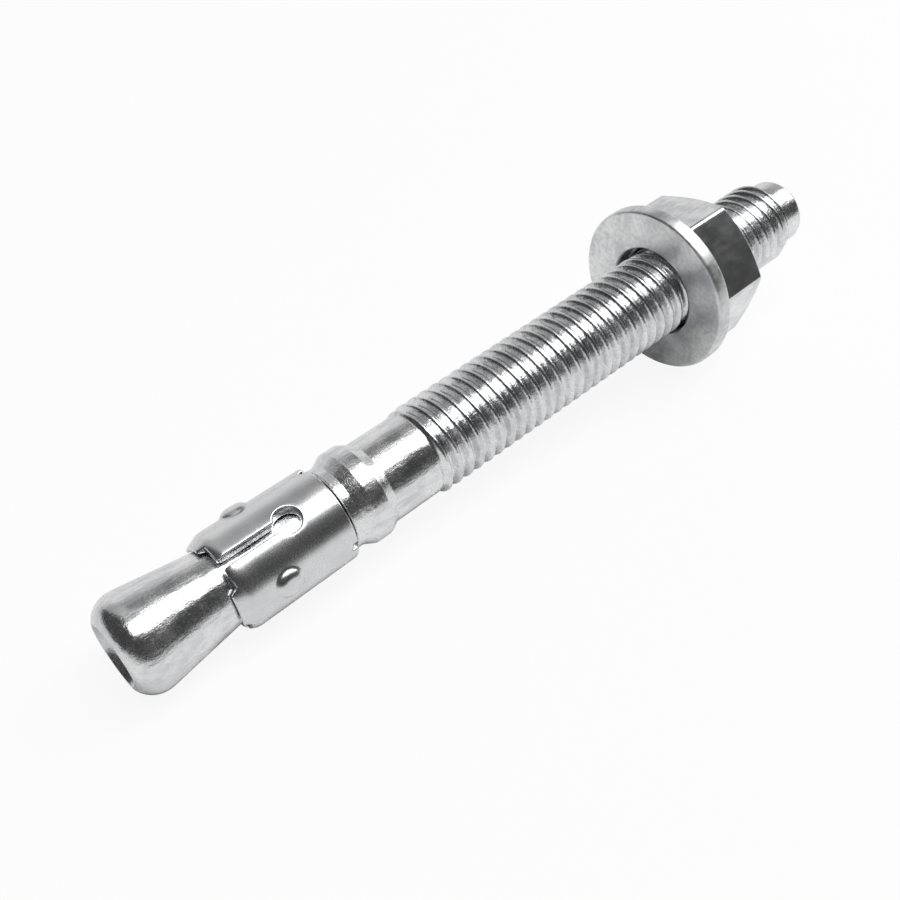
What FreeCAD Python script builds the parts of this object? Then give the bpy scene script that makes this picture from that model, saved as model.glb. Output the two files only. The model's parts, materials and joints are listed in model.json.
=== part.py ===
import FreeCAD, Part
import math
import os

# Wedge anchor, M12 by about 115, millimetres.
# Local x runs along the bolt from the cone end to the dog point.
# Origin: centre of the cone end face on the bolt axis.
# Turn angles start at the top and grow towards the front side, minus y.

# Bolt, lengths from the cone end
total_length = 113.6
thread_diameter = 11.86
thread_pitch = 1.75
shank_diameter = 10.8
neck_diameter = 8.6
cone_diameter = 12.0
cone_edge_radius = 3.6
cone_half_angle = 8.0
dimple_diameter = 6.0
dimple_depth = 1.5
dimple_lip = 0.15
neck_fillet = 0.5
collar_front = 29.2
collar_step_diameter = 10.5
collar_step_length = 1.15
collar_diameter = 12.1
collar_rise_length = 1.55
collar_land_length = 1.9
collar_fall_length = 1.35
collar_edge_radius = 0.4
thread_start = 42.0
thread_run_out = 0.6
dog_start = 109.7
dog_diameter = 9.1
dog_shoulder_length = 1.2
dog_edge_radius = 0.9

# Expansion clip
clip_fingers = 3
clip_front = 13.95
clip_rear = 28.45
clip_outer_front = 12.3
clip_outer_rear = 12.0
clip_neck_clearance = 0.32
clip_cone_clearance = 0.06
tongue_reach = 1.2
tongue_half_turn = 24.0
tongue_ramp_turn = 6.0
tongue_lip = 0.16
front_bevel_length = 2.0
slot_width = 1.2
slot_turn = 20.0
slot_end = 22.7
keyhole_diameter = 3.3
seam_width = 0.9
seam_slot_index = 2
bump_position = 19.4
bump_diameter = 3.3
bump_height = 0.42
bump_hollow_diameter = 2.4
bump_hollow_depth = 0.35
notch_width = 1.0
notch_depth = 0.9
notch_turn = 92.0
clip_rear_edge_radius = 0.25

# Washer
washer_outer_diameter = 25.2
washer_bore_diameter = 13.0
washer_thickness = 2.4
washer_edge_radius = 0.45
washer_bore_edge = 0.3
washer_drop = 0.45

# Hex nut
nut_width = 18.8
nut_corner_diameter = 21.2
nut_height = 9.6
nut_face_diameter = 18.0
nut_chamfer_angle = 30.0
nut_flat_turn = 45.0
nut_thread_clearance = 0.05
nut_countersink_diameter = 12.9

# Setting of the pieces along the bolt
nut_seat = 87.2
seat_gap = 0.04

# Derived sizes
thread_radius = thread_diameter / 2
shank_radius = shank_diameter / 2
neck_radius = neck_diameter / 2
cone_radius = cone_diameter / 2
collar_radius = collar_diameter / 2
finger_pitch = 360.0 / clip_fingers
washer_back = nut_seat - seat_gap
washer_front = washer_back - washer_thickness
cone_slope = math.tan(math.radians(cone_half_angle))
cone_arc_x = cone_edge_radius
cone_arc_r = cone_radius - cone_edge_radius


def vec(x, y, z):
    return FreeCAD.Vector(x, y, z)


def at_turn(x, radius, turn):
    angle = math.radians(turn)
    return vec(x, -radius * math.sin(angle), radius * math.cos(angle))


def turned(shape, turn):
    copy = shape.copy()
    copy.rotate(vec(0, 0, 0), vec(1, 0, 0), turn)
    return copy


def rod(x_start, x_end, radius):
    return Part.makeCylinder(radius, x_end - x_start, vec(x_start, 0, 0), vec(1, 0, 0))


def line(a, b):
    return Part.makeLine(vec(a[0], 0, a[1]), vec(b[0], 0, b[1]))


def arc(a, middle, b):
    points = [vec(p[0], 0, p[1]) for p in (a, middle, b)]
    return Part.Arc(points[0], points[1], points[2]).toShape()


def spun(edges):
    face = Part.Face(Part.Wire(edges))
    return face.revolve(vec(0, 0, 0), vec(1, 0, 0), 360)


def cone_surface_radius(x):
    # Radius of the straight taper behind the rounded cone edge.
    angle = math.radians(cone_half_angle)
    tangent_x = cone_arc_x + cone_edge_radius * math.sin(angle)
    tangent_r = cone_arc_r + cone_edge_radius * math.cos(angle)
    return tangent_r - (x - tangent_x) * cone_slope


def polyline(points):
    return [line(points[i], points[i + 1]) for i in range(len(points) - 1)]


# Cone end: pressed centre dimple, broad rounded edge, straight taper to the neck
def cone_end_edges():
    angle = math.radians(cone_half_angle)
    rim_radius = dimple_diameter / 2
    rim_offset = rim_radius - cone_arc_r
    rim_x = cone_arc_x - math.sqrt(cone_edge_radius ** 2 - rim_offset ** 2)
    dimple_sphere = (rim_radius ** 2 + dimple_depth ** 2) / (2 * dimple_depth)
    bottom_x = rim_x + dimple_depth
    half_rise = math.asin(rim_radius / dimple_sphere) / 2
    middle_x = bottom_x - dimple_sphere * (1 - math.cos(half_rise))
    middle_r = dimple_sphere * math.sin(half_rise)
    start_angle = math.asin(rim_offset / cone_edge_radius)
    end_angle = math.pi / 2 + angle
    mid_angle = (start_angle + end_angle) / 2
    arc_mid = (
        cone_arc_x - cone_edge_radius * math.cos(mid_angle),
        cone_arc_r + cone_edge_radius * math.sin(mid_angle),
    )
    arc_end = (
        cone_arc_x - cone_edge_radius * math.cos(end_angle),
        cone_arc_r + cone_edge_radius * math.sin(end_angle),
    )
    neck_start = (arc_end[0] + (arc_end[1] - neck_radius) / cone_slope, neck_radius)
    edges = [arc((bottom_x, 0), (middle_x, middle_r), (rim_x, rim_radius))]
    edges.append(arc((rim_x, rim_radius), arc_mid, arc_end))
    edges.append(line(arc_end, neck_start))
    return edges, (bottom_x, 0), neck_start


# Bolt body: one cold formed piece from the cone to the dog point
def make_bolt():
    edges, axis_start, neck_start = cone_end_edges()
    step_radius = collar_step_diameter / 2
    dog_radius = dog_diameter / 2
    rise_start = collar_front + collar_step_length
    land_start = rise_start + collar_rise_length
    land_end = land_start + collar_land_length
    fall_end = land_end + collar_fall_length
    points = [
        neck_start,
        (collar_front, neck_radius),
        (collar_front, step_radius),
        (rise_start, step_radius),
        (land_start, collar_radius),
        (land_end, collar_radius),
        (fall_end, shank_radius),
        (thread_start, shank_radius),
        (thread_start + thread_run_out, thread_radius),
        (dog_start - dog_shoulder_length, thread_radius),
        (dog_start, dog_radius),
        (total_length, dog_radius),
        (total_length, 0),
        axis_start,
    ]
    solid = spun(edges + polyline(points))
    rounded = [
        (collar_front, neck_radius, neck_fillet),
        (collar_front, step_radius, collar_edge_radius),
        (land_start, collar_radius, collar_edge_radius),
        (land_end, collar_radius, collar_edge_radius),
        (total_length, dog_radius, dog_edge_radius),
        (edges[0].Vertexes[-1].Point.x, dimple_diameter / 2, dimple_lip),
    ]
    for x, radius, size in rounded:
        solid = solid.makeFillet(size, circle_edges(solid, x, radius))
    return solid


def circle_edges(solid, x, radius):
    found = []
    for edge in solid.Edges:
        if edge.Degenerated or edge.Curve.TypeId != "Part::GeomCircle":
            continue
        centre = edge.Curve.Center
        if abs(centre.x - x) < 1e-3 and abs(edge.Curve.Radius - radius) < 1e-3:
            if abs(abs(edge.Curve.Axis.x) - 1) < 1e-6:
                found.append(edge)
    return found


# Sheet ring of the clip: bore rides the cone at the front, bevelled front lip
def clip_ring():
    bore_radius = neck_radius + clip_neck_clearance
    rear_radius = clip_outer_rear / 2
    front_radius = clip_outer_front / 2
    front = clip_front - tongue_reach
    lead_radius = cone_surface_radius(front) + clip_cone_clearance
    lead_end = front + (lead_radius - bore_radius) / cone_slope
    bevel_end = front + front_bevel_length
    points = [
        (front, lead_radius),
        (front, lead_radius + tongue_lip),
        (bevel_end, front_radius),
        (clip_rear, rear_radius),
        (clip_rear, bore_radius),
        (lead_end, bore_radius),
        (front, lead_radius),
    ]
    ring = spun(polyline(points))
    return ring.makeFillet(clip_rear_edge_radius, circle_edges(ring, clip_rear, rear_radius))


# Front outline: each finger keeps a ramp sided tongue, the rest is set back
def tongue_prism(turn):
    reach = clip_outer_front
    narrow = clip_outer_front / 2 * math.sin(math.radians(tongue_half_turn))
    wide = clip_outer_front / 2 * math.sin(math.radians(tongue_half_turn + tongue_ramp_turn))
    tip = clip_front - tongue_reach
    corners = [
        vec(tip - tongue_reach, -narrow, 0),
        vec(tip, -narrow, 0),
        vec(clip_front, -wide, 0),
        vec(clip_front + tongue_reach, -wide, 0),
        vec(clip_front + tongue_reach, wide, 0),
        vec(clip_front, wide, 0),
        vec(tip, narrow, 0),
        vec(tip - tongue_reach, narrow, 0),
    ]
    face = Part.Face(Part.makePolygon(corners + [corners[0]]))
    return turned(face.extrude(vec(0, 0, reach)), turn)


def front_set_back():
    slab = rod(clip_front - 2 * tongue_reach, clip_front, clip_outer_front)
    for index in range(clip_fingers):
        slab = slab.cut(tongue_prism(finger_turn(index)))
    return slab


def slot_turn_of(index):
    return slot_turn + index * finger_pitch


def finger_turn(index):
    return slot_turn_of(index) + finger_pitch / 2


def radial_box(x_start, x_end, width, turn):
    reach = clip_outer_front
    box = Part.makeBox(x_end - x_start, width, reach, vec(x_start, -width / 2, 0))
    return turned(box, turn)


def radial_pin(x, diameter, turn):
    pin = Part.makeCylinder(diameter / 2, clip_outer_front, vec(x, 0, 0), vec(0, 0, 1))
    return turned(pin, turn)


# Keyhole slot between two fingers, one of them runs on as the open seam
def keyhole_slot(index):
    turn = slot_turn_of(index)
    front = clip_front - 2 * tongue_reach
    slot = radial_box(front, slot_end, slot_width, turn)
    slot = slot.fuse(radial_pin(slot_end, keyhole_diameter, turn))
    if index == seam_slot_index:
        slot = slot.fuse(radial_box(slot_end, clip_rear + seam_width, seam_width, turn))
    return slot


# Round bump embossed outwards in the middle of each finger
def bump_shell(index):
    wall_radius = clip_wall_radius(bump_position)
    sphere_radius = ((bump_diameter / 2) ** 2 + bump_height ** 2) / (2 * bump_height)
    centre = wall_radius + bump_height - sphere_radius
    ball = Part.makeSphere(sphere_radius, vec(bump_position, 0, centre))
    bore_radius = neck_radius + clip_neck_clearance
    core = rod(bump_position - 2 * sphere_radius, bump_position + 2 * sphere_radius,
               (wall_radius + bore_radius) / 2)
    return turned(ball.cut(core).common(upper_half()), finger_turn(index))


def bump_hollow(index):
    bore_radius = neck_radius + clip_neck_clearance
    half = bump_hollow_diameter / 2
    sphere_radius = (half ** 2 + bump_hollow_depth ** 2) / (2 * bump_hollow_depth)
    centre = bore_radius + bump_hollow_depth - sphere_radius
    ball = Part.makeSphere(sphere_radius, vec(bump_position, 0, centre))
    return turned(ball.common(upper_half()), finger_turn(index))


def upper_half():
    side = 2 * clip_outer_front
    return Part.makeBox(side, side, side, vec(bump_position - side / 2, -side / 2, 0))


def clip_wall_radius(x):
    bevel_end = clip_front - tongue_reach + front_bevel_length
    share = (x - bevel_end) / (clip_rear - bevel_end)
    return (clip_outer_front + (clip_outer_rear - clip_outer_front) * share) / 2


# Small locating notch in the rear edge of each finger
def rear_notch(index):
    turn = notch_turn + index * finger_pitch
    return radial_box(clip_rear - notch_depth, clip_rear + notch_depth, notch_width, turn)


# Expansion clip: one strip of sheet wrapped round the neck
def make_clip():
    clip = clip_ring().cut(front_set_back())
    for index in range(clip_fingers):
        clip = clip.fuse(bump_shell(index))
    for index in range(clip_fingers):
        clip = clip.cut(bump_hollow(index))
        clip = clip.cut(keyhole_slot(index))
        clip = clip.cut(rear_notch(index))
    return clip.removeSplitter()


# Washer: stamped ring with rounded outer edges, hanging on the thread
def make_washer():
    outer = washer_outer_diameter / 2
    bore = washer_bore_diameter / 2
    ring = rod(washer_front, washer_back, outer)
    ring = ring.cut(rod(washer_front, washer_back, bore))
    rim = circle_edges(ring, washer_front, outer) + circle_edges(ring, washer_back, outer)
    ring = ring.makeFillet(washer_edge_radius, rim)
    mouth = circle_edges(ring, washer_front, bore) + circle_edges(ring, washer_back, bore)
    ring = ring.makeChamfer(washer_bore_edge, mouth)
    ring.translate(vec(0, 0, washer_drop))
    return ring


# Hex nut: flats with both end faces chamfered to a circle
def make_nut():
    nut_end = nut_seat + nut_height
    corner = nut_width / 2 / math.cos(math.pi / 6)
    corners = [at_turn(nut_seat, corner, nut_flat_turn + 30 + 60 * i) for i in range(6)]
    face = Part.Face(Part.makePolygon(corners + [corners[0]]))
    block = face.extrude(vec(nut_height, 0, 0))
    rise = math.tan(math.radians(nut_chamfer_angle))
    face_radius = nut_face_diameter / 2
    corner_radius = nut_corner_diameter / 2
    chamfer = (corner_radius - face_radius) * rise
    envelope = spun(polyline([
        (nut_seat, 0),
        (nut_seat, face_radius),
        (nut_seat + chamfer, corner_radius),
        (nut_end - chamfer, corner_radius),
        (nut_end, face_radius),
        (nut_end, 0),
        (nut_seat, 0),
    ]))
    bore_radius = thread_radius + nut_thread_clearance
    sink_radius = nut_countersink_diameter / 2
    sink = sink_radius - bore_radius
    bore = spun(polyline([
        (nut_seat, 0),
        (nut_seat, sink_radius),
        (nut_seat + sink, bore_radius),
        (nut_end - sink, bore_radius),
        (nut_end, sink_radius),
        (nut_end, 0),
        (nut_seat, 0),
    ]))
    return block.common(envelope).cut(bore)


# Resting tilt: the washer rim and the rounded cone edge touch the same table
def resting_tilt():
    run = washer_front + washer_edge_radius - cone_arc_x
    washer_centre = washer_outer_diameter / 2 - washer_edge_radius - washer_drop
    rise = washer_centre - cone_arc_r
    gap = washer_edge_radius - cone_edge_radius
    span = math.hypot(run, rise)
    return math.degrees(math.atan2(rise, run) + math.asin(gap / span))


def laid_down(shape):
    copy = shape.copy()
    copy.rotate(vec(0, 0, 0), vec(0, 1, 0), -resting_tilt())
    return copy


def main():
    os.makedirs("parts", exist_ok=True)
    pieces = {
        "anchor_bolt": make_bolt(),
        "expansion_clip": make_clip(),
        "washer": make_washer(),
        "hex_nut": make_nut(),
    }
    print("resting tilt", round(resting_tilt(), 4))
    for name, shape in pieces.items():
        solid = laid_down(shape)
        if solid.ShapeType == "Compound" and len(solid.Solids) == 1:
            solid = solid.Solids[0]
        box = solid.BoundBox
        print(name, solid.isValid(), len(solid.Solids), round(solid.Volume, 1),
              "low z", round(box.ZMin, 3))
        solid.exportStep("parts/" + name + ".step")


main()
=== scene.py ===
import bpy
import bmesh
import json
import math
from functools import partial
from mathutils import Matrix, Vector, geometry


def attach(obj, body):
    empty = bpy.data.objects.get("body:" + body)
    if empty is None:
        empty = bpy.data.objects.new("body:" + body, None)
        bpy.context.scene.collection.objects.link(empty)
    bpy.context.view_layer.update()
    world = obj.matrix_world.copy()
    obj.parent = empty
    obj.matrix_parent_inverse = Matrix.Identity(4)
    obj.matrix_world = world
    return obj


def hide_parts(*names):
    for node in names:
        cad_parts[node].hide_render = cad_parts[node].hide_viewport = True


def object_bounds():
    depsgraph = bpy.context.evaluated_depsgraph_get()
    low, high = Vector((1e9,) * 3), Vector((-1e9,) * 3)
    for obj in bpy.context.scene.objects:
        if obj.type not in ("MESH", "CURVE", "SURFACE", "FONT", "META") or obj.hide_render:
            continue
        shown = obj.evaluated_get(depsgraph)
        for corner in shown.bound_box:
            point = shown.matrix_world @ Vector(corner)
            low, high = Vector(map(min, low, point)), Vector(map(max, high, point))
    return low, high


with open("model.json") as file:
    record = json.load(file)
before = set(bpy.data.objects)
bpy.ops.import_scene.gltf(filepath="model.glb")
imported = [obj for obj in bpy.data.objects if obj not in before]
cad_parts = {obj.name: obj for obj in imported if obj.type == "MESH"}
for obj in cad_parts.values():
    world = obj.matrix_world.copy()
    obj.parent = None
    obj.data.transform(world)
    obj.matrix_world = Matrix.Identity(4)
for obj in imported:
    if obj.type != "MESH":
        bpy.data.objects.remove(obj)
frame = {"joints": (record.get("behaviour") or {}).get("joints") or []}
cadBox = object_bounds()
print("stage: frame loaded")

# The bolt axis is the clip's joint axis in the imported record. Pieces are built in
# millimetres along local x, then scaled and laid on this axis.
# Turn angles start at the top and grow towards the camera side.
boltAxis = Vector(frame["joints"][0]["axis"]).normalized()
restTilt = math.atan2(boltAxis.z, boltAxis.x)
layDown = Matrix.Rotation(-restTilt, 4, "Y") @ Matrix.Scale(0.001, 4)


# small mesh helpers
def atTurn(x, radius, turn):
    a = math.radians(turn)
    return Vector((x, -radius * math.sin(a), radius * math.cos(a)))


def arcPoints(cx, cr, radius, start, end, steps):
    # points of an arc in the profile plane, angles in radians from minus x
    out = []
    for i in range(steps + 1):
        a = start + (end - start) * i / steps
        out.append((cx - radius * math.cos(a), cr + radius * math.sin(a)))
    return out


def filletLine(points, steps=4, closed=False):
    # points are (x, r, radius): every corner with a radius becomes an arc of steps + 1 points
    out = []
    count = len(points)
    for i in range(count):
        x, r, radius = points[i]
        if radius == 0 or (not closed and i in (0, count - 1)):
            out.append((x, r))
            continue
        here = Vector((x, r))
        back = Vector(points[i - 1][:2]) - here
        ahead = Vector(points[(i + 1) % count][:2]) - here
        reach = min(back.length, ahead.length) * 0.49  # an arc takes less than half of its shorter side
        back.normalize()
        ahead.normalize()
        half = math.acos(max(-1, min(1, back.dot(ahead)))) / 2
        cut = min(radius / math.tan(half), reach)
        size = cut * math.tan(half)
        middle = here + (back + ahead).normalized() * (size / math.sin(half))
        first = here + back * cut - middle
        last = here + ahead * cut - middle
        for k in range(steps + 1):
            spoke = first.lerp(last, k / steps).normalized() * size
            out.append(tuple(middle + spoke))
    return out


def held(value):
    # kept between 0 and 1
    return max(0.0, min(1.0, value))


def blendShare(difference, width):
    # 0 to 1 over a band of this width round the place where two surfaces meet
    return held(0.5 + 0.5 * difference / width)


def meshFrom(bm, name):
    mesh = bpy.data.meshes.new(name)
    bm.to_mesh(mesh)
    bm.free()
    return mesh


def skinMesh(name, rings, closedRows=False):
    # closed rings of equal length joined by quads, rows run along the piece
    bm = bmesh.new()
    grid = [[bm.verts.new(p) for p in ring] for ring in rings]
    rows = len(grid)
    columns = len(grid[0])
    for i in range(rows if closedRows else rows - 1):
        low = grid[i]
        high = grid[(i + 1) % rows]
        for j in range(columns):
            k = (j + 1) % columns
            bm.faces.new((low[j], low[k], high[k], high[j]))
    bmesh.ops.remove_doubles(bm, verts=bm.verts, dist=1e-5)
    return meshFrom(bm, name)


def spinProfile(profile, columns, startTurn):
    turns = [startTurn + 360 * j / columns for j in range(columns)]
    return [[atTurn(x, max(r, 0.0), turn) for turn in turns] for x, r in profile]


def addObject(name, data):
    made = bpy.data.objects.new(name, data)
    bpy.context.scene.collection.objects.link(made)
    return made


def addPiece(name, mesh, body, node, material):
    # the piece and its mesh take the given name, the finish fills the one slot, and the node's CAD part is
    # hidden
    mesh.name = name
    for poly in mesh.polygons:
        poly.use_smooth = True
    mesh.materials.clear()
    mesh.materials.append(material)
    piece = addObject(name, mesh)
    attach(piece, body)
    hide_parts(node)


# small node helpers
def newSocket(tree, name, kind, side, value=None):
    socket = tree.interface.new_socket(name=name, in_out=side, socket_type=kind)
    if value is not None:
        socket.default_value = value


def addNode(tree, kind, **settings):
    made = tree.nodes.new(kind)
    for key, value in settings.items():
        setattr(made, key, value)
    return made


def feed(tree, value, socket):
    # a number is set on the socket, an output is linked to it
    if isinstance(value, (int, float)):
        socket.default_value = value
    else:
        tree.links.new(value, socket)


def mathNode(tree, operation, *values):
    made = addNode(tree, "ShaderNodeMath", operation=operation)
    for i, value in enumerate(values):
        feed(tree, value, made.inputs[i])
    return made.outputs[0]


def rampValue(tree, value, fromLow, fromHigh, toLow, toHigh, smooth=True):
    made = addNode(tree, "ShaderNodeMapRange", interpolation_type="SMOOTHSTEP" if smooth else "LINEAR")
    ends = {"Value": value, "From Min": fromLow, "From Max": fromHigh, "To Min": toLow, "To Max": toHigh}
    for key, number in ends.items():
        feed(tree, number, made.inputs[key])
    return made.outputs[0]


def noiseAt(tree, place, stretch, scale, detail):
    shift = addNode(tree, "ShaderNodeMapping")
    shift.inputs["Scale"].default_value = stretch
    tree.links.new(place, shift.inputs["Vector"])
    noise = addNode(tree, "ShaderNodeTexNoise")
    noise.inputs["Detail"].default_value = detail
    noise.inputs["Roughness"].default_value = 0.55
    feed(tree, scale, noise.inputs["Scale"])
    tree.links.new(shift.outputs[0], noise.inputs["Vector"])
    return noise.outputs["Fac"]


# bright zinc skin: cloudy tone, streaks drawn along the axis, fine tumbled grain
def makeZincGroup():
    tree = bpy.data.node_groups.new("zincSkin", "ShaderNodeTree")
    newSocket(tree, "Place", "NodeSocketVector", "INPUT")
    newSocket(tree, "Light Tone", "NodeSocketColor", "INPUT", (0.86, 0.86, 0.86, 1))
    newSocket(tree, "Dark Tone", "NodeSocketColor", "INPUT", (0.62, 0.62, 0.63, 1))
    for name, value in (("Cloud Scale", 0.3), ("Streak Scale", 1.6), ("Grain Scale", 5.0),
                        ("Streak Height", 0.5), ("Grain Height", 0.25),
                        ("Low Roughness", 0.16), ("High Roughness", 0.34)):
        newSocket(tree, name, "NodeSocketFloat", "INPUT", value)
    newSocket(tree, "Color", "NodeSocketColor", "OUTPUT")
    newSocket(tree, "Roughness", "NodeSocketFloat", "OUTPUT")
    newSocket(tree, "Height", "NodeSocketFloat", "OUTPUT")
    entry = addNode(tree, "NodeGroupInput").outputs
    leave = addNode(tree, "NodeGroupOutput").inputs
    calc = partial(mathNode, tree)
    cloud = noiseAt(tree, entry["Place"], (1, 1, 1), entry["Cloud Scale"], 4.0)
    streak = noiseAt(tree, entry["Place"], (0.3, 1, 1), entry["Streak Scale"], 3.0)
    grain = noiseAt(tree, entry["Place"], (1, 1, 1), entry["Grain Scale"], 2.0)
    tone = calc("ADD", calc("MULTIPLY", cloud, 0.6), calc("MULTIPLY", streak, 0.4))
    mix = addNode(tree, "ShaderNodeMix", data_type="RGBA")
    tree.links.new(rampValue(tree, tone, 0.36, 0.62, 0.0, 1.0), mix.inputs["Factor"])
    tree.links.new(entry["Dark Tone"], mix.inputs[6])  # the two colour inputs and the colour output
    tree.links.new(entry["Light Tone"], mix.inputs[7])
    tree.links.new(mix.outputs[2], leave["Color"])
    spread = calc("ADD", calc("MULTIPLY", grain, 0.5), calc("MULTIPLY", cloud, 0.5))
    rough = rampValue(tree, spread, 0.35, 0.65, entry["Low Roughness"], entry["High Roughness"])
    tree.links.new(rough, leave["Roughness"])
    relief = calc("ADD", calc("MULTIPLY", streak, entry["Streak Height"]),
                  calc("MULTIPLY", grain, entry["Grain Height"]))
    tree.links.new(relief, leave["Height"])
    return tree


zincSkin = makeZincGroup()

# relief is the bump's depth in metres, the rest goes to the group
finishes = {
    "studZinc": {
        "Light Tone": (0.9, 0.9, 0.91, 1), "Dark Tone": (0.68, 0.69, 0.7, 1), "Low Roughness": 0.16,
        "High Roughness": 0.3, "Streak Height": 0.6, "Grain Height": 0.2, "relief": 0.00007,
    },
    "clipZinc": {
        "Light Tone": (0.8, 0.8, 0.81, 1), "Dark Tone": (0.72, 0.73, 0.74, 1), "Low Roughness": 0.24,
        "High Roughness": 0.28, "Streak Height": 0.3, "Grain Height": 0.03, "relief": 0.00001,
    },
    "washerZinc": {
        "Light Tone": (0.88, 0.88, 0.88, 1), "Dark Tone": (0.6, 0.61, 0.62, 1), "Low Roughness": 0.34,
        "High Roughness": 0.46, "Streak Height": 0.4, "Grain Height": 0.3, "relief": 0.00004,
    },
    "nutZinc": {
        "Light Tone": (0.86, 0.86, 0.87, 1), "Dark Tone": (0.6, 0.61, 0.62, 1), "Low Roughness": 0.2,
        "High Roughness": 0.24, "Streak Height": 0.08, "Grain Height": 0.04, "relief": 0.00001,
    },
}


def makeFinish(name, values):
    material = bpy.data.materials.new(name)
    material.use_nodes = True
    tree = material.node_tree
    shader = tree.nodes["Principled BSDF"]
    shader.inputs["Metallic"].default_value = 1.0
    where = addNode(tree, "ShaderNodeTexCoord").outputs["Object"]
    lay = addNode(tree, "ShaderNodeMapping")  # metres on the table to millimetres along the axis
    lay.inputs["Rotation"].default_value = (0, restTilt, 0)
    lay.inputs["Scale"].default_value = (1000, 1000, 1000)
    tree.links.new(where, lay.inputs["Vector"])
    skin = addNode(tree, "ShaderNodeGroup", node_tree=zincSkin)
    for key, value in values.items():
        if key in skin.inputs:
            skin.inputs[key].default_value = value
    tree.links.new(lay.outputs[0], skin.inputs["Place"])
    tree.links.new(skin.outputs["Color"], shader.inputs["Base Color"])
    tree.links.new(skin.outputs["Roughness"], shader.inputs["Roughness"])
    bump = addNode(tree, "ShaderNodeBump")
    bump.inputs["Distance"].default_value = values["relief"]
    bump.inputs["Strength"].default_value = 1.0
    tree.links.new(skin.outputs["Height"], bump.inputs["Height"])
    tree.links.new(bump.outputs["Normal"], shader.inputs["Normal"])
    return material


materials = {name: makeFinish(name, values) for name, values in finishes.items()}
print("stage: finishes")

# rolled thread, the same tree for the stud and for the nut
# its flank from groove to crest: share of the way, share of the depth
threadFlank = ((0.0, 0.0), (0.14, 0.03), (0.3, 0.22), (0.7, 0.84), (0.86, 0.98), (1.0, 1.0))
threadWeld = 0.0008  # millimetres within which two points become one


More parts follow.
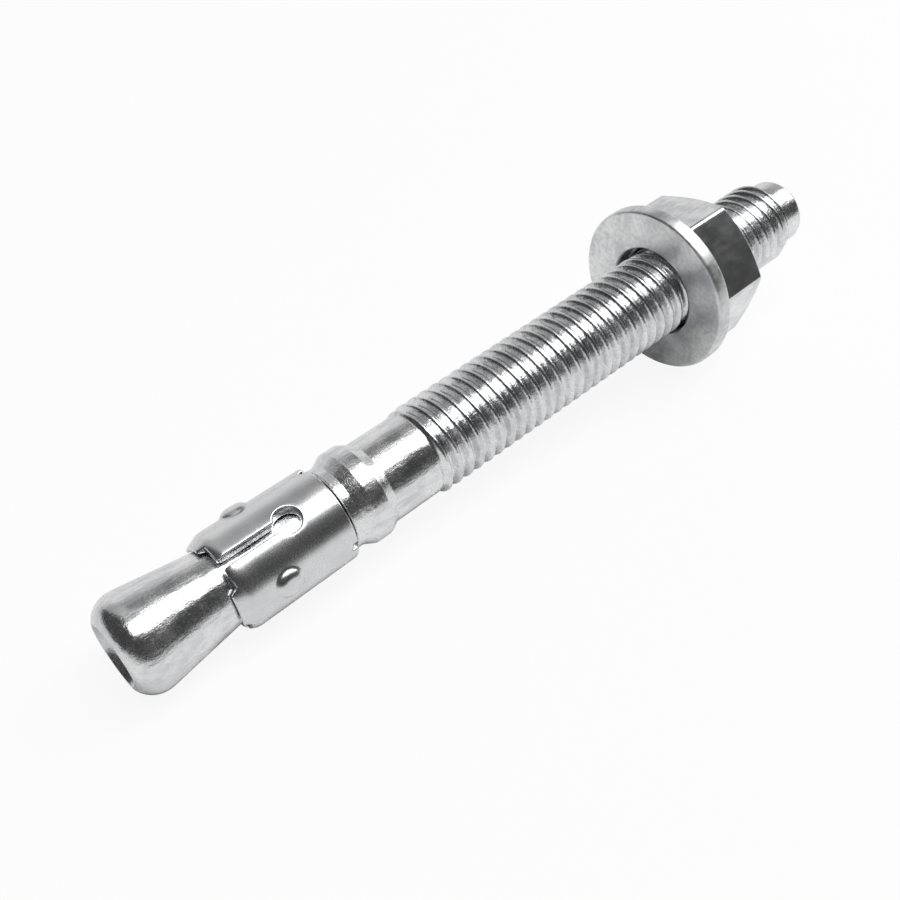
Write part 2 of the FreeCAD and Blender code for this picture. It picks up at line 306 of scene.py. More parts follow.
def makeThreadTree():
    tree = bpy.data.node_groups.new("rolledThread", "GeometryNodeTree")
    newSocket(tree, "Geometry", "NodeSocketGeometry", "INPUT")
    sizes = (("Start", 41.0), ("End", 110.0), ("Pitch", 1.75), ("Start Radius", 5.4), ("End Radius", 4.55),
             ("Crest Radius", 5.93), ("Root Radius", 4.9), ("Run In Start", 42.0), ("Run In End", 42.8),
             ("Run Out Start", 108.5), ("Run Out End", 109.7), ("Start Turn", 0.0))
    for name, value in sizes:
        newSocket(tree, name, "NodeSocketFloat", "INPUT", value)
    for name, value in (("Columns", 96), ("Rows", 12), ("Turns", 42)):
        newSocket(tree, name, "NodeSocketInt", "INPUT", value)
    newSocket(tree, "Material", "NodeSocketMaterial", "INPUT")
    newSocket(tree, "Geometry", "NodeSocketGeometry", "OUTPUT")
    entry = addNode(tree, "NodeGroupInput").outputs
    leave = addNode(tree, "NodeGroupOutput").inputs
    calc = partial(mathNode, tree)
    link = tree.links.new
    # a flat sheet: x counts the turns, y runs across one pitch
    sheet = addNode(tree, "GeometryNodeMeshGrid")
    sheet.inputs["Size Y"].default_value = 1.0
    link(entry["Turns"], sheet.inputs["Size X"])
    link(calc("ADD", calc("MULTIPLY", entry["Columns"], entry["Turns"]), 1), sheet.inputs["Vertices X"])
    link(calc("ADD", entry["Rows"], 1), sheet.inputs["Vertices Y"])
    place = addNode(tree, "ShaderNodeSeparateXYZ")
    link(addNode(tree, "GeometryNodeInputPosition").outputs[0], place.inputs[0])
    turn = calc("ADD", place.outputs["X"], calc("MULTIPLY", entry["Turns"], 0.5))
    share = calc("ADD", place.outputs["Y"], 0.5)
    # along the axis: one pitch a turn, held between the two ends
    free = calc("ADD", calc("SUBTRACT", entry["Start"], entry["Pitch"]),
                calc("MULTIPLY", entry["Pitch"], calc("ADD", turn, share)))
    along = calc("MINIMUM", calc("MAXIMUM", free, entry["Start"]), entry["End"])
    # across one pitch: 0 in the groove, 1 on the crest
    aside = calc("ABSOLUTE", calc("SUBTRACT", calc("MULTIPLY", share, 2.0), 1.0))
    form = addNode(tree, "ShaderNodeFloatCurve")
    curve = form.mapping.curves[0]
    curve.points[0].location = threadFlank[0]
    curve.points[1].location = threadFlank[-1]
    for x, y in threadFlank[1:-1]:
        curve.points.new(x, y)
    form.mapping.update()
    link(calc("SUBTRACT", 1.0, aside), form.inputs["Value"])
    depth = calc("SUBTRACT", entry["Crest Radius"], entry["Root Radius"])
    full = calc("ADD", entry["Root Radius"], calc("MULTIPLY", form.outputs[0], depth))
    # the thread grows out of the start radius and ends on the end radius
    grow = rampValue(tree, along, entry["Run In Start"], entry["Run In End"], 0.0, 1.0)
    rolled = calc("ADD", entry["Start Radius"],
                  calc("MULTIPLY", grow, calc("SUBTRACT", full, entry["Start Radius"])))
    highest = rampValue(tree, along, entry["Run Out Start"], entry["Run Out End"], entry["Crest Radius"],
                        entry["End Radius"], smooth=False)
    lowest = rampValue(tree, along, entry["Run Out Start"], entry["Run Out End"], entry["Root Radius"],
                       entry["End Radius"], smooth=False)
    radius = calc("MINIMUM", calc("MAXIMUM", rolled, lowest), highest)
    angle = calc("ADD", calc("MULTIPLY", turn, 2 * math.pi), entry["Start Turn"])
    spot = addNode(tree, "ShaderNodeCombineXYZ")
    link(along, spot.inputs["X"])
    link(calc("MULTIPLY", calc("MULTIPLY", radius, calc("SINE", angle)), -1.0), spot.inputs["Y"])
    link(calc("MULTIPLY", radius, calc("COSINE", angle)), spot.inputs["Z"])
    wind = addNode(tree, "GeometryNodeSetPosition")
    link(sheet.outputs["Mesh"], wind.inputs["Geometry"])
    link(spot.outputs[0], wind.inputs["Position"])
    join = addNode(tree, "GeometryNodeJoinGeometry")
    link(wind.outputs[0], join.inputs[0])
    link(entry["Geometry"], join.inputs[0])
    weld = addNode(tree, "GeometryNodeMergeByDistance")
    weld.inputs["Distance"].default_value = threadWeld
    link(join.outputs[0], weld.inputs["Geometry"])
    real = addNode(tree, "GeometryNodeRealizeInstances")
    link(weld.outputs[0], real.inputs[0])
    paint = addNode(tree, "GeometryNodeSetMaterial")
    link(real.outputs[0], paint.inputs["Geometry"])
    link(entry["Material"], paint.inputs["Material"])
    link(paint.outputs[0], leave["Geometry"])
    return tree


rolledThread = makeThreadTree()


def windThread(name, mesh, values, material):
    # mesh is the open rest of the piece; returns it with the thread welded in
    holder = addObject(name, mesh)
    work = holder.modifiers.new("thread", "NODES")
    work.node_group = rolledThread
    sockets = {s.name: s.identifier for s in rolledThread.interface.items_tree if s.in_out == "INPUT"}
    for key, value in values.items():
        work[sockets[key]] = value
    work[sockets["Material"]] = material
    bpy.context.view_layer.update()
    ready = holder.evaluated_get(bpy.context.evaluated_depsgraph_get())
    result = bpy.data.meshes.new_from_object(ready)
    holder.modifiers.clear()
    bpy.data.objects.remove(holder)
    return result


# stud: cone end, neck, collar, shank, rolled thread and dog point in one piece
# grooveAt and grooveTurn are one place where the groove passes; the thread's sheet begins
# sheetLead before the thread, on the shank, and ends sheetTail past the dog point's shoulder
stud = {
    "columns": 96, "rimAt": 0.5, "coneRadius": 6.15, "coneEdge": 3.2, "coneHalfAngle": 8.0, "edgeSteps": 20,
    "dimpleRadius": 4.2, "dimpleDepth": 2.5, "dimpleLip": 0.2, "dimpleSteps": 9,
    "neckRadius": 4.3, "neckRound": 1.2, "neckFillet": 0.5,
    "collarFront": 29.1, "stepRadius": 5.35, "stepLength": 1.25,
    "collarRadius": 6.15, "rise": 1.55, "land": 1.9, "fall": 1.35, "collarEdge": 0.3, "shankRadius": 5.45,
    "threadStart": 42.0, "threadLead": 0.9, "earlyRunIn": 0.2, "sheetLead": 1.0, "sheetTail": 0.6,
    "pitch": 1.75, "crestRadius": 5.93, "rootRadius": 4.9, "threadRows": 12,
    "grooveAt": 45.37, "grooveTurn": 37.1,
    "shoulderStart": 108.8, "dogStart": 110.0, "dogRadius": 4.75, "dogEdge": 0.9, "length": 113.75,
}


def coneArcCentre():
    # the rounded edge starts at the dimple rim
    edge = stud["coneEdge"]
    centreR = stud["coneRadius"] - edge
    return stud["rimAt"] + math.sqrt(edge ** 2 - (stud["dimpleRadius"] - centreR) ** 2), centreR


def coneTaperStart():
    a = math.radians(stud["coneHalfAngle"])
    edge = stud["coneEdge"]
    centreX, centreR = coneArcCentre()
    return centreX + edge * math.sin(a), centreR + edge * math.cos(a)


def coneRadiusAt(x):
    startX, startR = coneTaperStart()
    return startR - (x - startX) * math.tan(math.radians(stud["coneHalfAngle"]))


def conePoints():
    edge, rim, depth = stud["coneEdge"], stud["dimpleRadius"], stud["dimpleDepth"]
    centreX, centreR = coneArcCentre()
    ball = (rim * rim + depth * depth) / (2 * depth)
    points = []
    for i in range(stud["dimpleSteps"]):
        a = math.asin(rim / ball) * i / stud["dimpleSteps"]
        points.append((stud["rimAt"] + depth - ball * (1 - math.cos(a)), ball * math.sin(a), 0))
    points.append((stud["rimAt"], rim, stud["dimpleLip"]))
    startAngle = math.asin((rim - centreR) / edge)
    endAngle = math.pi / 2 + math.radians(stud["coneHalfAngle"])
    shoulder = arcPoints(centreX, centreR, edge, startAngle, endAngle, stud["edgeSteps"])
    points += [(x, r, 0) for x, r in shoulder[1:]]
    startX, startR = coneTaperStart()
    neckX = startX + (startR - stud["neckRadius"]) / math.tan(math.radians(stud["coneHalfAngle"]))
    points.append((neckX, stud["neckRadius"], stud["neckRound"]))
    return points


def threadTurn(start):
    # the turn at which a thread sheet that begins at start has its groove
    return stud["grooveTurn"] + 360 * ((start - stud["grooveAt"]) / stud["pitch"] - 1)


def buildStud():
    front = stud["collarFront"]
    rise = front + stud["stepLength"]
    land = rise + stud["rise"]
    landEnd = land + stud["land"]
    fall = landEnd + stud["fall"]
    start = stud["threadStart"] - stud["sheetLead"]
    end = stud["dogStart"] + stud["sheetTail"]
    edge = stud["collarEdge"]
    points = conePoints() + [
        (front, stud["neckRadius"], stud["neckFillet"]),
        (front, stud["stepRadius"], edge),
        (rise, stud["stepRadius"], edge),
        (land, stud["collarRadius"], edge),
        (landEnd, stud["collarRadius"], edge),
        (fall, stud["shankRadius"], edge),
        (start, stud["shankRadius"], 0),
    ]
    tip = [(end, stud["dogRadius"], 0), (stud["length"], stud["dogRadius"], stud["dogEdge"]),
           (stud["length"], 0.0, 0)]
    startTurn = threadTurn(start)
    bm = bmesh.new()
    for name, profile in (("studHead", filletLine(points)), ("studTip", filletLine(tip, 6))):
        part = skinMesh(name, spinProfile(profile, stud["columns"], startTurn))
        bm.from_mesh(part)
        bpy.data.meshes.remove(part)
    values = {
        "Start": start, "End": end, "Pitch": stud["pitch"],
        "Start Radius": stud["shankRadius"], "End Radius": stud["dogRadius"],
        "Crest Radius": stud["crestRadius"], "Root Radius": stud["rootRadius"],
        "Run In Start": stud["threadStart"] - stud["earlyRunIn"],
        "Run In End": stud["threadStart"] + stud["threadLead"],
        "Run Out Start": stud["shoulderStart"], "Run Out End": stud["dogStart"],
        "Start Turn": math.radians(startTurn), "Columns": stud["columns"], "Rows": stud["threadRows"],
        "Turns": math.ceil((end - start) / stud["pitch"]) + 1,
    }
    result = windThread("studBlank", meshFrom(bm, "studBlank"), values, materials["studZinc"])
    result.transform(layDown)
    return result


addPiece("studBody", buildStud(), "bolt", "anchor_bolt", materials["studZinc"])
print("stage: stud")

# expansion clip: flat stamped strip, three fingers, wrapped round the neck
clip = {
    "fingers": 3, "front": 13.95, "tongueFront": 13.1, "rear": 28.65, "frontRadius": 6.2, "rearRadius": 6.1,
    "wrapRadius": 6.05, "neckClearance": 0.32, "coneClearance": 0.06,
    "tongueHalfTurn": 24.0, "tongueRamp": 5.0, "tongueLip": 0.55, "lipFlare": 0.25, "flareReach": 1.0,
    "bevelEnd": 14.85, "bevelSoft": 0.09, "cornerRadius": 0.35, "rearCorner": 0.3,
    "slotWidth": 1.2, "slotTurn": 20.0, "slotEnd": 22.7, "keyholeRadius": 1.65,
    "seamWidth": 0.9, "seamIndex": 2,
    "bumpAt": 19.4, "bumpRadius": 1.8, "bumpHeight": 0.6, "bumpFlank": 50.0, "bumpEdge": 1.4,
    "bumpFoot": 0.12, "bumpHollow": 0.8,
    "notchWidth": 1.0, "notchDepth": 0.9, "notchTurn": 92.0, "notchRound": 0.25, "notchFromSeam": 4.0,
    "outerEdge": 0.2, "innerEdge": 0.1, "edgeOfWall": 0.4,
    "edgeStep": 0.3, "meshSize": 0.42, "rowShare": 0.866, "borderGap": 0.2,
    "bumpMesh": 0.2, "bumpMargin": 0.25,
}


def clipTurnOf(index):
    return clip["slotTurn"] + index * 360 / clip["fingers"]


def alongWrap(turn):
    return math.radians(turn) * clip["wrapRadius"]


def clipOutline():
    # corner points (x, s, radius) of the flat strip; s is the length round the wrap radius
    half = clip["slotWidth"] / 2
    seamHalf = clip["seamWidth"] / 2
    hole = clip["keyholeRadius"]
    mouth = math.asin(half / hole)
    seamMouth = math.asin(seamHalf / hole)
    fingers = clip["fingers"]
    front, rear, tip = clip["front"], clip["rear"], clip["tongueFront"]
    corner, rearCorner = clip["cornerRadius"], clip["rearCorner"]
    tongue = alongWrap(clip["tongueHalfTurn"])
    ramp = alongWrap(clip["tongueHalfTurn"] + clip["tongueRamp"])
    firstSlot = clipTurnOf(clip["seamIndex"]) - 360
    outline = []

    def keyhole(turn, start, end, steps):
        # arc of the hole, angle 0 faces the front end
        for i in range(steps + 1):
            a = start + (end - start) * i / steps
            outline.append((clip["slotEnd"] - hole * math.cos(a), alongWrap(turn) + hole * math.sin(a), 0))

    # the strip starts at the seam, from the rear towards the front
    outline.append((rear, alongWrap(firstSlot) + seamHalf, rearCorner))
    keyhole(firstSlot, math.pi - seamMouth, mouth, 10)
    for index in range(fingers):
        slotTurn = firstSlot + 360 / fingers * index
        nextTurn = slotTurn + 360 / fingers
        middle = alongWrap(slotTurn + 180 / fingers)
        outline += [(front, alongWrap(slotTurn) + half, corner), (front, middle - ramp, corner),
                    (tip, middle - tongue, corner), (tip, middle + tongue, corner),
                    (front, middle + ramp, corner), (front, alongWrap(nextTurn) - half, corner)]
        if index < fingers - 1:
            keyhole(nextTurn, -mouth, -(2 * math.pi - mouth), 28)
        else:
            keyhole(nextTurn, -mouth, -(math.pi - seamMouth), 10)
    outline.append((rear, alongWrap(firstSlot + 360) - seamHalf, rearCorner))
    # back along the rear edge, with a notch for each finger
    fromSeam = [(clip["notchTurn"] + index * 360 / fingers - firstSlot) % 360 for index in range(fingers)]
    for offset in sorted(fromSeam, reverse=True):
        if not clip["notchFromSeam"] < offset < 360 - clip["notchFromSeam"]:
            continue
        middle = alongWrap(firstSlot + offset)
        width, deep = clip["notchWidth"] / 2, rear - clip["notchDepth"]
        outline += [(rear, middle + width, rearCorner), (deep, middle + width, clip["notchRound"]),
                    (deep, middle - width, clip["notchRound"]), (rear, middle - width, rearCorner)]
    return outline


def evenLoop(points, step):
    # closed loop with long runs divided into pieces of about one step
    out = []
    for i, p in enumerate(points):
        a, b = Vector(p), Vector(points[(i + 1) % len(points)])
        parts = max(1, round((b - a).length / step))
        for k in range(parts):
            out.append(a.lerp(b, k / parts))
    return out


def outwardNormals(loop):
    # unit normals pointing out of the material
    area = sum(loop[i - 1].x * loop[i].y - loop[i].x * loop[i - 1].y for i in range(len(loop)))
    sign = 1.0 if area > 0 else -1.0
    out = []
    for i, p in enumerate(loop):
        ahead = (loop[(i + 1) % len(loop)] - p).normalized()
        back = (p - loop[i - 1]).normalized()
        tangent = (ahead + back).normalized()
        out.append(Vector((tangent.y, -tangent.x)) * sign)
    return out


def insideLoop(p, loop):
    # even-odd test in the flat of the strip
    inside = False
    for i, b in enumerate(loop):
        a = loop[i - 1]
        if (a.y > p.y) != (b.y > p.y) and p.x < a.x + (b.x - a.x) * (p.y - a.y) / (b.y - a.y):
            inside = not inside
    return inside


def clipOuterRadius(x):
    # the bevelled lip runs softly into the slightly tapered sleeve
    share = (x - clip["bevelEnd"]) / (clip["rear"] - clip["bevelEnd"])
    flat = clip["frontRadius"] + (clip["rearRadius"] - clip["frontRadius"]) * share
    tip = coneRadiusAt(clip["tongueFront"]) + clip["coneClearance"] + clip["tongueLip"]
    slope = (clip["frontRadius"] - tip) / (clip["bevelEnd"] - clip["tongueFront"])
    bevel = clip["frontRadius"] + (x - clip["bevelEnd"]) * slope
    h = blendShare(bevel - flat, clip["bevelSoft"])
    return bevel * (1 - h) + flat * h - clip["bevelSoft"] * h * (1 - h)


def clipInnerRadius(x):
    # the lip stands a little off the cone
    reach = clip["flareReach"]
    flare = held((clip["bevelEnd"] + reach - x) / (2 * reach))
    bore = stud["neckRadius"] + clip["neckClearance"]
    return max(bore, coneRadiusAt(x) + clip["coneClearance"] + clip["lipFlare"] * flare)


def bumpProfile(away):
    # flat top, round edge and steep flank, blended into the wall at the foot
    edge, top = clip["bumpEdge"], clip["bumpHeight"]
    flank = math.radians(clip["bumpFlank"])
    shoulder = top - edge * (1 - math.cos(flank))
    shoulderAt = clip["bumpRadius"] - shoulder / math.tan(flank)
    flatAt = shoulderAt - edge * math.sin(flank)
    if away < flatAt:
        rise = top
    elif away < shoulderAt:
        rise = top - edge + math.sqrt(edge ** 2 - (away - flatAt) ** 2)
    else:
        rise = shoulder - (away - shoulderAt) * math.tan(flank)
    h = blendShare(rise, clip["bumpFoot"])
    return rise * h + clip["bumpFoot"] * h * (1 - h)


def bumpRise(x, turn):
    for index in range(clip["fingers"]):
        middle = clipTurnOf(index) + 180 / clip["fingers"]
        away = (turn - middle + 180) % 360 - 180
        distance = math.hypot(x - clip["bumpAt"], alongWrap(away))
        if distance < clip["bumpRadius"] + clip["bumpFoot"]:
            return bumpProfile(distance)
    return 0.0


def clipSpot(p, side, drop):
    # a point of the flat strip wrapped round the neck, drop is its depth below that face
    turn = math.degrees(p.y / clip["wrapRadius"])
    if side == "outer":
        radius = clipOuterRadius(p.x) - drop + bumpRise(p.x, turn)
    else:
        radius = clipInnerRadius(p.x) + drop + clip["bumpHollow"] * bumpRise(p.x, turn)
    return atTurn(p.x, radius, turn)


def clipEdgeProfile():
    # round edges of the sheet from the outer face to the inner: inset share, drop share, side
    outer = [math.pi / 2 * k / 4 for k in range(5)]
    inner = [math.pi / 2 * k / 3 for k in range(4)]
    return ([(1 - math.sin(a), 1 - math.cos(a), "outer") for a in outer]
            + [(1 - math.cos(a), 1 - math.sin(a), "inner") for a in inner])


def facePoints(border):
    # rows of points for one face of the strip, in finer rounds on the bumps, clear of the border
    size, fine = clip["meshSize"], clip["bumpMesh"]
    lowX = min(p.x for p in border)
    highX = max(p.x for p in border)
    lowS = min(p.y for p in border)
    highS = max(p.y for p in border)
    points = []
    for i in range(int((highX - lowX) / (size * clip["rowShare"])) + 2):
        x = lowX + i * size * clip["rowShare"]
        shift = size / 2 if i % 2 else 0
        points += [Vector((x, lowS + shift + j * size)) for j in range(int((highS - lowS) / size) + 1)]
    middles = [alongWrap(clipTurnOf(index) + 180 / clip["fingers"])
               for index in range(-1, clip["fingers"] + 1)]
    bumps = [Vector((clip["bumpAt"], middle)) for middle in middles if lowS < middle < highS]
    reach = clip["bumpRadius"] + clip["bumpMargin"]
    points = [p for p in points if all((p - b).length > reach + fine for b in bumps)]
    rounds = int(reach / fine)
    for b in bumps:
        points.append(b.copy())
        for k in range(1, rounds + 1):
            radius = reach * k / rounds
            around = max(6, round(2 * math.pi * radius / fine))
            for m in range(around):
                a = 2 * math.pi * (m + 0.5 * (k % 2)) / around
                points.append(b + Vector((math.cos(a), math.sin(a))) * radius)
    # the border is sorted into cells of 1 mm, so that only near points are compared
    cells = {}
    for p in border:
        cells.setdefault((int(p.x // 1), int(p.y // 1)), []).append(p)
    clear = []
    for c in points:
        near = [p for dx in (-1, 0, 1) for dy in (-1, 0, 1)
                for p in cells.get((int(c.x // 1) + dx, int(c.y // 1) + dy), [])]
        if all((p - c).length > clip["borderGap"] for p in near):
            clear.append(c)
    return clear


def fillFace(bm, ring, border, side):
    # triangles over one face of the strip, joined to the edge ring
    count = len(ring)
    edges = [(j, (j + 1) % count) for j in range(count)]
    made = geometry.delaunay_2d_cdt(border + facePoints(border), edges, [], 0, 1e-6, True)
    coords, faces, origins = made[0], made[2], made[3]
    verts = {}
    for face in faces:
        if not insideLoop(sum((coords[i] for i in face), Vector((0, 0))) / 3, border):
            continue
        for i in face:
            if i not in verts:
                onRing = [o for o in origins[i] if o < count]
                verts[i] = ring[onRing[0]] if onRing else bm.verts.new(clipSpot(coords[i], side, 0.0))
        bm.faces.new([verts[i] for i in face])


def buildClip():
    loop = evenLoop(filletLine(clipOutline(), 4, True), clip["edgeStep"])
    normals = outwardNormals(loop)
    edges = {"outer": clip["outerEdge"], "inner": clip["innerEdge"]}
    bm = bmesh.new()
    rings = []
    for inset, drop, side in clipEdgeProfile():
        ring = []
        for p, n in zip(loop, normals):
            wall = clipOuterRadius(p.x) - clipInnerRadius(p.x)
            depth = drop * min(edges[side], wall * clip["edgeOfWall"])
            ring.append(bm.verts.new(clipSpot(p - n * (inset * edges[side]), side, depth)))
        rings.append(ring)
    for low, high in zip(rings, rings[1:]):
        for j in range(len(loop)):
            k = (j + 1) % len(loop)
            bm.faces.new((low[j], high[j], high[k], low[k]))
    for side, ring in (("outer", rings[0]), ("inner", rings[-1])):
        border = [p - n * edges[side] for p, n in zip(loop, normals)]
        fillFace(bm, ring, border, side)
    bmesh.ops.recalc_face_normals(bm, faces=bm.faces)
    mesh = meshFrom(bm, "clipStrip")
    mesh.transform(layDown)
    return mesh


addPiece("clipSleeve", buildClip(), "clip", "expansion_clip", materials["clipZinc"])
print("stage: clip")

# washer: stamped ring hanging on the thread
washer = {"front": 85.5, "back": 87.7, "outer": 11.95, "bore": 6.5, "rollEdge": 0.5, "boreEdge": 0.3,
          "drop": 0.45, "columns": 160}


def buildWasher():
    front, back = washer["front"], washer["back"]
    roll, inner = washer["rollEdge"], washer["boreEdge"]
    corners = [(front, washer["bore"], inner), (front, washer["outer"], roll),
               (back, washer["outer"], roll), (back, washer["bore"], inner)]
    profile = filletLine(corners, 6, True)
    mesh = skinMesh("washerRing", spinProfile(profile, washer["columns"], 0), closedRows=True)
    mesh.transform(layDown @ Matrix.Translation((0, 0, washer["drop"])))
    return mesh


addPiece("washerRing", buildWasher(), "washer_ring", "washer", materials["washerZinc"])
print("stage: washer")

# hex nut with chamfered faces and its own thread, close behind the washer
nut = {
    "seatGap": 0.04, "height": 9.06, "width": 18.8, "cornerRadius": 10.76, "cornerSoft": 0.15, "edge": 0.2,
    "faceRadius": 9.0, "faceEdge": 0.35, "chamfer": 30.0, "flatTurn": 45.0, "columns": 180, "gather": 0.65,
    "sinkRadius": 6.45, "sinkAngle": 35.0, "sinkEdge": 0.15, "grooveGap": 0.05, "ridgeGap": 0.1,
    "threadLead": 0.6, "threadRows": 10,
}


def nutOutline(turn):
    # six flats, with the corners cut back to a round
    a = math.radians((turn - nut["flatTurn"] + 30) % 60 - 30)
    flat = nut["width"] / 2 / math.cos(a)
    h = blendShare(nut["cornerRadius"] - flat, nut["cornerSoft"])
    return nut["cornerRadius"] * (1 - h) + flat * h - nut["cornerSoft"] * h * (1 - h) * 0.5


def nutWarp(turn):
    # columns gather at the six corners
    t = ((turn - nut["flatTurn"] + 30) % 60 - 30) / 30
    gathered = (1 - nut["gather"]) * t + nut["gather"] * math.sin(math.pi * t / 2)
    return turn + (gathered - t) * 30


def nutLine(front, back, start, end, groove, turn):
    # one column of the blank, from the thread's front end over the outside to its back end
    warped = nutWarp(turn)
    outer = nutOutline(warped)
    face, sink = nut["faceRadius"], nut["sinkRadius"]
    step = (outer - face) * math.tan(math.radians(nut["chamfer"]))
    corners = [(start, groove, 0), (front, sink, nut["sinkEdge"]), (front, face, nut["faceEdge"]),
               (front + step, outer, nut["edge"]), (back - step, outer, nut["edge"]),
               (back, face, nut["faceEdge"]), (back, sink, nut["sinkEdge"]), (end, groove, 0)]
    return [atTurn(x, r, turn + (warped - turn) * held((r - sink) / (face - sink)))
            for x, r in filletLine(corners, 4)]


def buildNut():
    front = washer["back"] + nut["seatGap"]
    back = front + nut["height"]
    groove = stud["crestRadius"] + nut["grooveGap"]
    ridge = stud["rootRadius"] + nut["ridgeGap"]
    sinkDepth = (nut["sinkRadius"] - groove) * math.tan(math.radians(nut["sinkAngle"]))
    start, end = front + sinkDepth, back - sinkDepth
    columns = nut["columns"]
    startTurn = threadTurn(start)
    turns = [startTurn + 360 * j / columns for j in range(columns)]
    lines = [nutLine(front, back, start, end, groove, turn) for turn in turns]
    mesh = skinMesh("nutBlank", list(zip(*lines)))
    values = {
        "Start": start, "End": end, "Pitch": stud["pitch"], "Start Radius": groove, "End Radius": groove,
        "Crest Radius": groove, "Root Radius": ridge,
        "Run In Start": start, "Run In End": start + nut["threadLead"],
        "Run Out Start": end - nut["threadLead"], "Run Out End": end,
        "Start Turn": math.radians(startTurn), "Columns": columns, "Rows": nut["threadRows"],
        "Turns": math.ceil((end - start) / stud["pitch"]) + 1,
    }
    wound = windThread("nutBlank", mesh, values, materials["nutZinc"])
    bm = bmesh.new()
    bm.from_mesh(wound)
    bmesh.ops.recalc_face_normals(bm, faces=bm.faces)
    result = meshFrom(bm, "nutWound")
    result.transform(layDown)
    return result


addPiece("hexNut", buildNut(), "nut", "hex_nut", materials["nutZinc"])
print("stage: nut")

# studio: pale floor, white room with a dark card, soft lamp above, camera as in the photo
# turns in the room are in degrees from straight up, and grow towards the camera side
studio = {
    "floorSize": 3.0, "floorTone": 0.9, "floorGlow": 0.9,
    "skyLight": 0.44, "backLight": 0.78, "backTurn": (-66, -50),
    "frontDark": 0.05, "cardNear": (27, 32), "cardFar": (78, 98), "coneWrap": 2.5, "coneDrop": 0.8,
    "stripNear": (-48, -38), "stripFar": (-24, -15), "stripDepth": 0.7,
    "stripFrom": (0.2, 0.3), "stripTo": (0.62, 0.68),
    "boxPower": 5.5, "boxSize": (1.5, 0.34), "boxPlace": (0.3, -0.125, 0.62), "boxAim": (0.06, 0.0, 0.0),
}


def buildFloor():
    low = cadBox[0].z
    half = studio["floorSize"] / 2
    mesh = bpy.data.meshes.new("floorSheet")
    corners = [(-half, -half, low), (half, -half, low), (half, half, low), (-half, half, low)]
    mesh.from_pydata(corners, [], [(0, 1, 2, 3)])
    material = bpy.data.materials.new("floorPaper")
    material.use_nodes = True
    tree = material.node_tree
    tree.nodes.clear()
    tone = studio["floorTone"]
    paper = addNode(tree, "ShaderNodeBsdfDiffuse")
    paper.inputs["Color"].default_value = (tone, tone, tone, 1)
    glow = addNode(tree, "ShaderNodeEmission")
    seen = addNode(tree, "ShaderNodeLightPath").outputs["Is Camera Ray"]
    mix = addNode(tree, "ShaderNodeMixShader")
    tree.links.new(mathNode(tree, "MULTIPLY", seen, studio["floorGlow"]), mix.inputs[0])
    tree.links.new(paper.outputs[0], mix.inputs[1])
    tree.links.new(glow.outputs[0], mix.inputs[2])
    out = addNode(tree, "ShaderNodeOutputMaterial")
    tree.links.new(mix.outputs[0], out.inputs["Surface"])
    mesh.materials.append(material)
    addObject("floorSheet", mesh)


def degreeRamp(tree, turn, degrees, low, high):
    return rampValue(tree, turn, math.radians(degrees[0]), math.radians(degrees[1]), low, high)


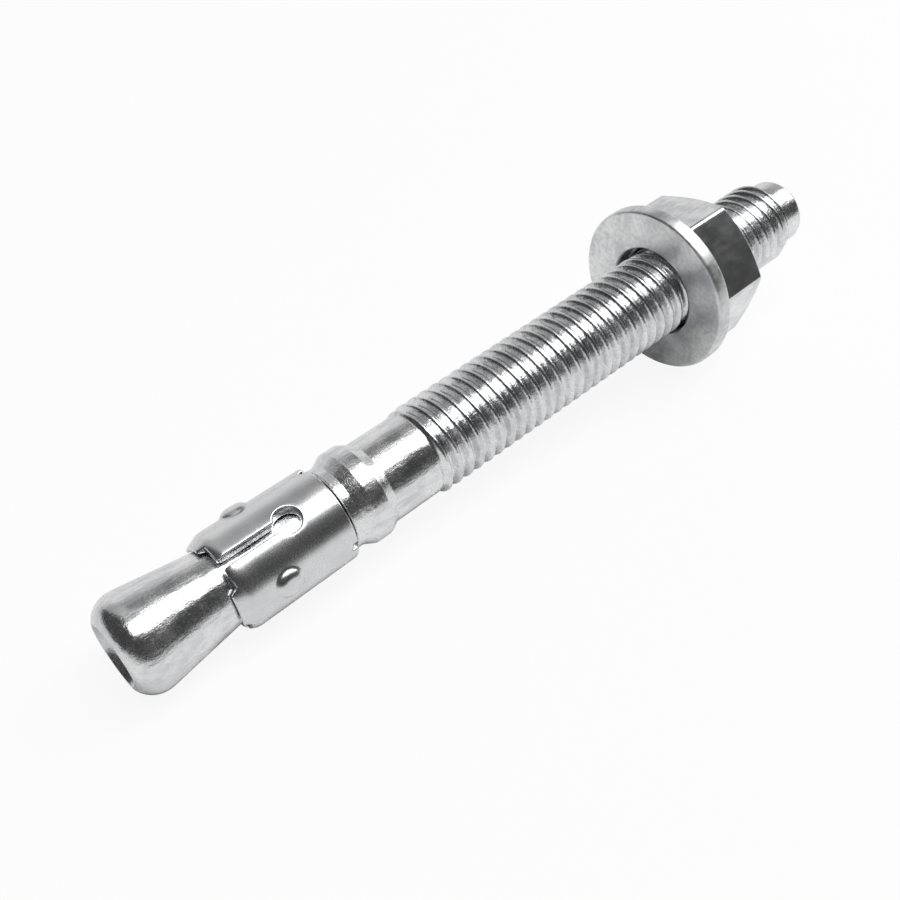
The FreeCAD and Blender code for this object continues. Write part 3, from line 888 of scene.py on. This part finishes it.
def buildWorld():
    # the card is over the camera side and reaches round to the cone end
    world = bpy.data.worlds.new("studioRoom")
    bpy.context.scene.world = world
    world.use_nodes = True
    tree = world.node_tree
    tree.nodes.clear()
    calc = partial(mathNode, tree)
    ramp = partial(degreeRamp, tree)
    place = addNode(tree, "ShaderNodeTexCoord").outputs["Generated"]
    split = addNode(tree, "ShaderNodeSeparateXYZ")
    tree.links.new(place, split.inputs[0])
    front = calc("MULTIPLY", split.outputs["Y"], -1.0)
    conewards = calc("MAXIMUM", calc("MULTIPLY", split.outputs["X"], -1.0), 0.0)
    towards = calc("ADD", front, calc("MULTIPLY", conewards, studio["coneWrap"]))
    turn = calc("ARCTAN2", towards, split.outputs["Z"])
    lower = calc("SUBTRACT", turn, calc("MULTIPLY", conewards, studio["coneDrop"]))
    card = calc("MULTIPLY", ramp(turn, studio["cardNear"], 0.0, 1.0),
                ramp(lower, studio["cardFar"], 1.0, 0.0))
    # a darker strip behind the top, only along the middle of the stud
    strip = calc("MULTIPLY", ramp(turn, studio["stripNear"], 0.0, studio["stripDepth"]),
                 ramp(turn, studio["stripFar"], 1.0, 0.0))
    along = calc("MULTIPLY", rampValue(tree, split.outputs["X"], *studio["stripFrom"], 0.0, 1.0),
                 rampValue(tree, split.outputs["X"], *studio["stripTo"], 1.0, 0.0))
    kept = calc("SUBTRACT", 1.0, calc("MULTIPLY", strip, along))
    room = calc("MULTIPLY", ramp(turn, studio["backTurn"], studio["backLight"], studio["skyLight"]), kept)
    level = calc("ADD", calc("MULTIPLY", room, calc("SUBTRACT", 1.0, card)),
                 calc("MULTIPLY", card, studio["frontDark"]))
    seen = addNode(tree, "ShaderNodeLightPath").outputs["Is Camera Ray"]
    sky = addNode(tree, "ShaderNodeBackground")
    sky.inputs["Color"].default_value = (1, 1, 1, 1)
    tree.links.new(calc("MAXIMUM", level, seen), sky.inputs["Strength"])
    out = addNode(tree, "ShaderNodeOutputWorld")
    tree.links.new(sky.outputs[0], out.inputs["Surface"])


def buildLamp():
    data = bpy.data.lights.new("topSoftbox", "AREA")
    data.shape = "RECTANGLE"
    data.size, data.size_y = studio["boxSize"]
    data.energy = studio["boxPower"]
    lamp = addObject("topSoftbox", data)
    lamp.location = Vector(studio["boxPlace"])
    down = (Vector(studio["boxAim"]) - lamp.location).normalized()
    side = Vector((1, 0, 0))
    side = (side - down * side.dot(down)).normalized()
    up = (-down).cross(side)
    lamp.rotation_euler = Matrix((side, up, -down)).transposed().to_euler()


cameraView = {
    "place": (-0.0184908, -0.0740226, 0.0937413),
    "forward": (0.486053, 0.542402, -0.685239),
    "lens": 43.34, "sensor": 36.0, "nearest": 0.005, "farthest": 20.0,
}


def buildCamera():
    data = bpy.data.cameras.new("photoCamera")
    data.lens = cameraView["lens"]
    data.sensor_width = cameraView["sensor"]
    data.clip_start, data.clip_end = cameraView["nearest"], cameraView["farthest"]
    camera = addObject("photoCamera", data)
    forward = Vector(cameraView["forward"]).normalized()
    right = forward.cross(Vector((0, 0, 1))).normalized()
    up = right.cross(forward)
    axes = Matrix((right, up, -forward)).transposed().to_4x4()
    camera.matrix_world = Matrix.Translation(cameraView["place"]) @ axes
    bpy.context.scene.camera = camera


buildFloor()
buildWorld()
buildLamp()
buildCamera()
bpy.context.scene.view_settings.view_transform = "Standard"
print("stage: studio")
